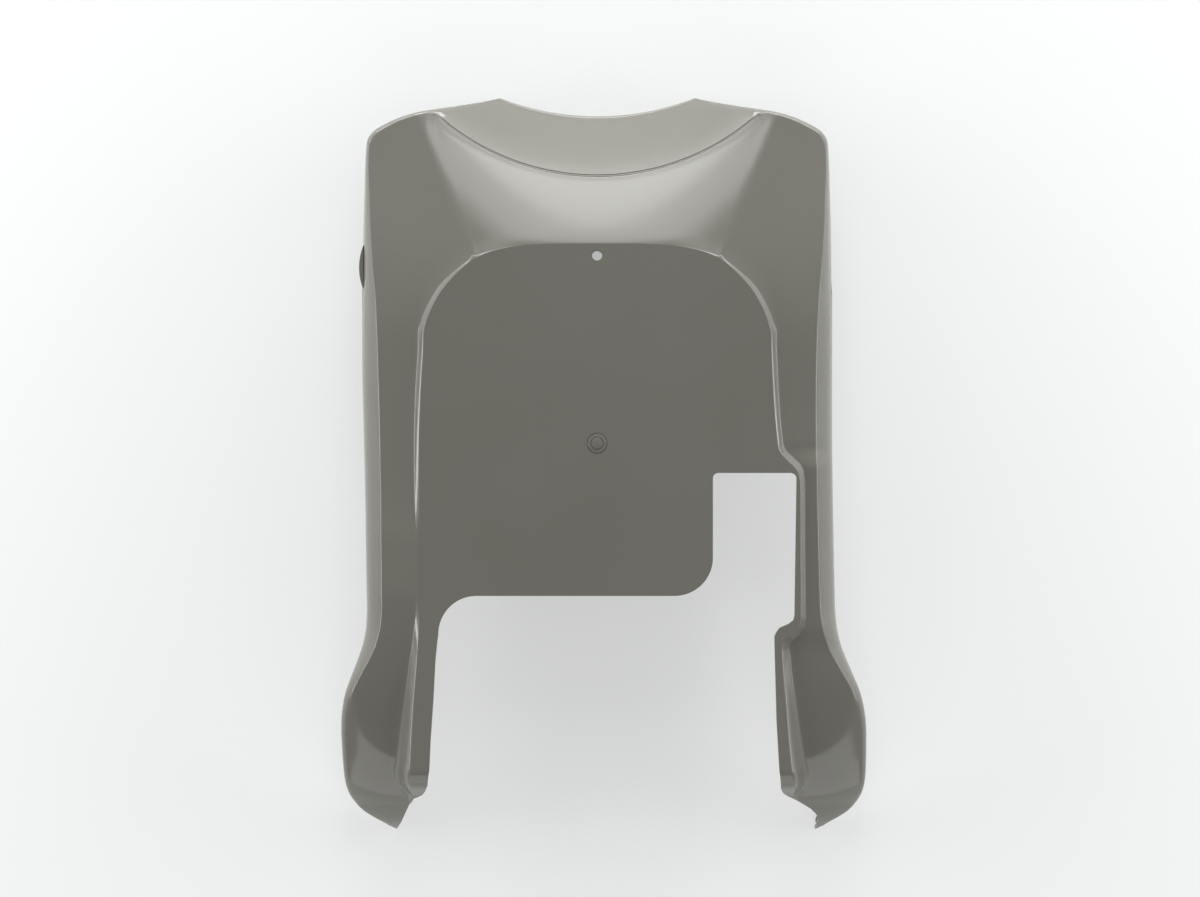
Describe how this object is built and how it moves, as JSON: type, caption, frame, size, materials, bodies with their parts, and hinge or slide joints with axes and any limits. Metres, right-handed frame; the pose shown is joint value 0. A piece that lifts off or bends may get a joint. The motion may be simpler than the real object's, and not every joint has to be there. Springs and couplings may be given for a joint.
{
  "type": "belly pan",
  "caption": "Moulded underfloor panel of a scooter: raised flat bottom with a stepped wall, wheel scoop in front, side notch and flared rear legs.",
  "frame": {"origin": "middle of the footprint, on the plane that the lowest points of the rim rest on", "axes": "+Y to the scooter's front, where the wheel scoop is; +X to the side with the notch; +Z out of the painted outer face, which lies uppermost"},
  "size_m": [0.422, 0.6, 0.09],
  "materials": {
    "painted_plastic": "glossy warm grey paint on an injection-moulded plastic shell"
  },
  "bodies": {
    "root": {"belly_pan": "painted_plastic"}
  },
  "joints": []
}
